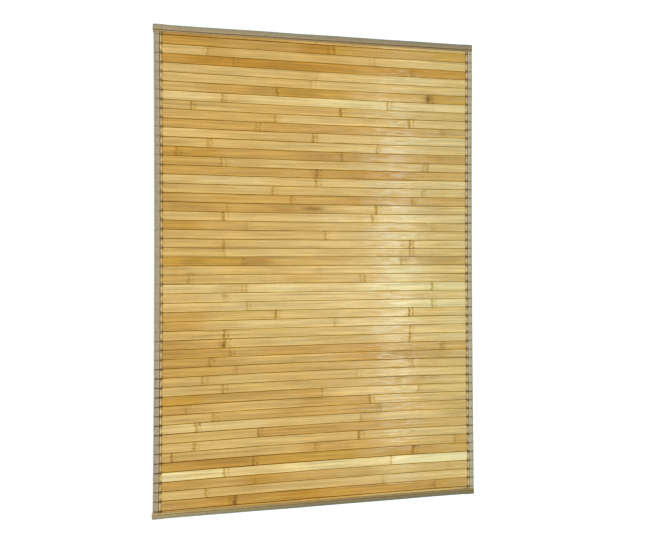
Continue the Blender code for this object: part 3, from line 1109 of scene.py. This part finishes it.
def bamboo_material():
    """Planed bamboo under a satin varnish: fibres, node marks, worn edges and painted shade beside the
    gaps.
    """
    graph = Graph("bamboo_satin")
    place = graph.place()
    seed = graph.attribute("seed")
    edge = graph.attribute("edge")
    grain = {name: graph.noise(place, scale, seed, *rest) for name, (scale, *rest) in GRAINS.items()}
    line, second, lighter, pits, stain = node_marks(graph, grain)

    tone = reduce(mul, (grain[name].span(*limits) for name, limits in GRAIN_TONES.items()))
    colour = graph.scaled(graph.attribute("tint", "Color"), tone)
    colour = graph.tinted(colour, grain["vessels"].span(0.60, 0.72, 0.0, 0.42), WOOD_SHADES["vessel"])
    colour = graph.tinted(colour, grain["bands"].span(0.56, 0.36, 0.0, 0.5), WOOD_SHADES["warm band"])
    colour = graph.scaled(colour, lighter + 1.0)
    for kind, strength in {
        "stain": stain,
        "line": (line * 1.15).least(1.0),
        "second line": second * 1.15,
        "pit": pits * 0.75,
        # Painted shade of the gaps on the slats' flanks, with the edges' wear.
        "worn and shaded edge": edge ** 0.4,
        "gap": edge * 0.75,
    }.items():
        colour = graph.tinted(colour, strength, WOOD_SHADES[kind])

    fine = graph.bump(grain["fibres"] - pits * 1.5, 0.035 * MM)
    normal = graph.bump(grain["swells"], 0.34 * MM, Normal=fine)
    polish = grain["streaks"].span(0.42, 0.64, 0.08, 0.93) * edge.span(0.0, 0.6, 1.0, 0.0)
    polish *= (line + second + pits).span(0.0, 0.6, 1.0, 0.15)
    return graph.finish(
        Base_Color=colour,
        Roughness=grain["fibres"].span(0.2, 0.8, 0.36, 0.50),
        Normal=normal,
        Specular_IOR_Level=0.2,
        Coat_Weight=polish,
        Coat_Roughness=0.11,
        Coat_Normal=normal,
    )


def cloth_material():
    """Plain woven tape: threads over and under each other, with uneven yarn."""
    graph = Graph("binding_weave")
    place = graph.attribute("weave", "Vector")
    warp, weft = ((part * (pi / WEAVE_PITCH)).sine() for part in graph.parts(place)[:2])
    chosen = (warp * weft).span(-0.15, 0.15, 0.0, 1.0)
    height = abs(warp) * chosen + abs(weft) * graph.math("SUBTRACT", 1.0, chosen)
    yarn = graph.noise(place, (90.0, 1900.0, 1.0), 1.0)
    cross_yarn = graph.noise(place, (1900.0, 90.0, 1.0), 2.0)
    mottle = graph.noise(place, (230.0, 230.0, 1.0), 3.0, detail=3.0)
    tone = yarn.span(0.3, 0.7, 0.86, 1.12) * cross_yarn.span(0.3, 0.7, 0.92, 1.07)
    tone *= mottle.span(0.3, 0.7, 0.85, 1.13)
    tone *= height.span(0.15, 0.95, 0.72, 1.06)
    return graph.finish(
        Base_Color=graph.scaled(graph.attribute("tint", "Color"), tone),
        Roughness=0.85,
        Normal=graph.bump(height, 0.10 * MM, Normal=graph.bump(mottle, 0.15 * MM)),
        Specular_IOR_Level=0.25,
        Sheen_Weight=0.08,
        Sheen_Roughness=0.5,
    )


def thread_material(kind):
    """Sewing thread with its twist."""
    graph = Graph(f"thread_{kind}")
    place = graph.place()
    x, y, z = graph.parts(place)
    twist = ((x + y + z) * (2 * pi / TWIST_PITCH)).sine()
    fuzz = graph.noise(place, (900.0, 900.0, 900.0), 4.0)
    tone = twist.span(-1.0, 1.0, 0.75, 1.15) * fuzz.span(0.3, 0.7, 0.85, 1.1)
    return graph.finish(
        Base_Color=graph.scaled(display(THREAD_TINTS[kind]), tone),
        Roughness=0.7,
        Normal=graph.bump(twist, 0.05 * MM),
        Specular_IOR_Level=0.2,
    )


def floor_material():
    """Matt white, lifted a little by a glow that stops short of the rug."""
    graph = Graph("studio_floor")
    place = graph.place()
    x, y, _ = graph.parts(place)
    grain = graph.noise(place, (260.0, 260.0, 260.0), 5.0)
    beyond = (abs(x) - SIDE_X).most(abs(y) - END_Y)
    return graph.finish(
        Base_Color=graph.scaled((0.98, 0.98, 0.98), grain.span(0.3, 0.7, 0.99, 1.0)),
        Roughness=0.9,
        Specular_IOR_Level=0.1,
        Emission_Color=(1.0, 1.0, 1.0, 1.0),
        Emission_Strength=beyond.span(-30 * MM, -5 * MM, 0.0, FLOOR_GLOW),
    )


# ---------------------------------------------------------------- studio

FLOOR_SIZE = 16.0
ROOM_LIGHT = 0.70
# Soft lights: place, x of the point that each faces on the floor, width and length, power, colour.
LIGHTS = {
    "soft_side": ((1.9, 0.0, 3.5), 1.0, (2.2, 4.5), 30, (0.52, 1.0, 1.0)),
    "window": ((0.74, -0.08, 3.1), 0.14, (0.28, 2.8), 19, (0.70, 0.97, 1.0)),
    "window_spill": ((0.42, -0.08, 3.1), 0.06, (0.60, 2.8), 6, (0.72, 0.97, 1.0)),
}

# The camera stands over the rug's middle, turned a little towards its right side.
SENSOR = 36.0  # mm
LENS = 27.6923077  # mm
SHIFT = (-0.0846154, -0.0392308)  # of the lens, in image widths
CLIP_START = 0.01
TURN = (radians(-0.54), radians(9.17), radians(0.14))  # about X, Y and the lens axis
OFFSET = Vector((-0.115, -0.037, -0.971))  # of the rug's middle, seen from the camera


def make_floor():
    bpy.ops.mesh.primitive_plane_add(size=FLOOR_SIZE)
    floor = bpy.context.active_object
    floor.name = "studio_floor"
    floor.data.materials.append(floor_material())


def make_light(name, location, target_x, size, power, colour):
    """A soft light over the rug, longer along Y, turned about Y to face target_x on the floor."""
    data = bpy.data.lights.new(name, "AREA")
    data.shape = "RECTANGLE"
    data.size, data.size_y = size
    data.energy = power
    data.color = colour
    light = add_object(name, data)
    light.location = location
    light.rotation_euler = (0.0, atan2(location[0] - target_x, location[2]), 0.0)


def make_lights():
    world = bpy.data.worlds.new("studio")
    world.use_nodes = True
    background = world.node_tree.nodes["Background"]
    background.inputs["Color"].default_value = (1.0, 1.0, 1.0, 1.0)
    background.inputs["Strength"].default_value = ROOM_LIGHT
    bpy.context.scene.world = world
    for name, light in LIGHTS.items():
        make_light(name, *light)


def make_camera():
    turn_x, turn_y, turn_z = (Matrix.Rotation(turn, 3, axis) for turn, axis in zip(TURN, "XYZ"))
    back = (turn_z @ turn_x @ turn_y).transposed()
    data = bpy.data.cameras.new("camera")
    data.sensor_width = SENSOR
    data.lens = LENS
    data.shift_x, data.shift_y = SHIFT
    data.clip_start = CLIP_START
    camera = add_object("camera", data)
    middle = Vector((0, 0, SLAT_TOP))
    camera.matrix_world = Matrix.Translation(middle - back @ OFFSET) @ back.to_4x4()
    bpy.context.scene.camera = camera


def main():
    bpy.context.scene.view_settings.view_transform = "Standard"
    cloth = cloth_material()
    slats = make_slats(bamboo_material())
    for strip, reach, margin, below in (
        (SideStrip("left", -1), LEFT_HIGH.y, 3 * MM, slats[::2]),  # rests_on takes at most 40 names
        (SideStrip("right", 1), LEFT_HIGH.y, 3 * MM, slats[::2]),
        (EndStrip("head", 1), HEAD_HIGH.x, 1 * MM, slats[:1]),
        (EndStrip("foot", -1), HEAD_HIGH.x, 1 * MM, slats[-1:]),
    ):
        piece = strip.make(cloth)
        seam = make_stitches(strip, margin - reach, reach - margin)
    make_floor()
    make_lights()
    make_camera()


main()
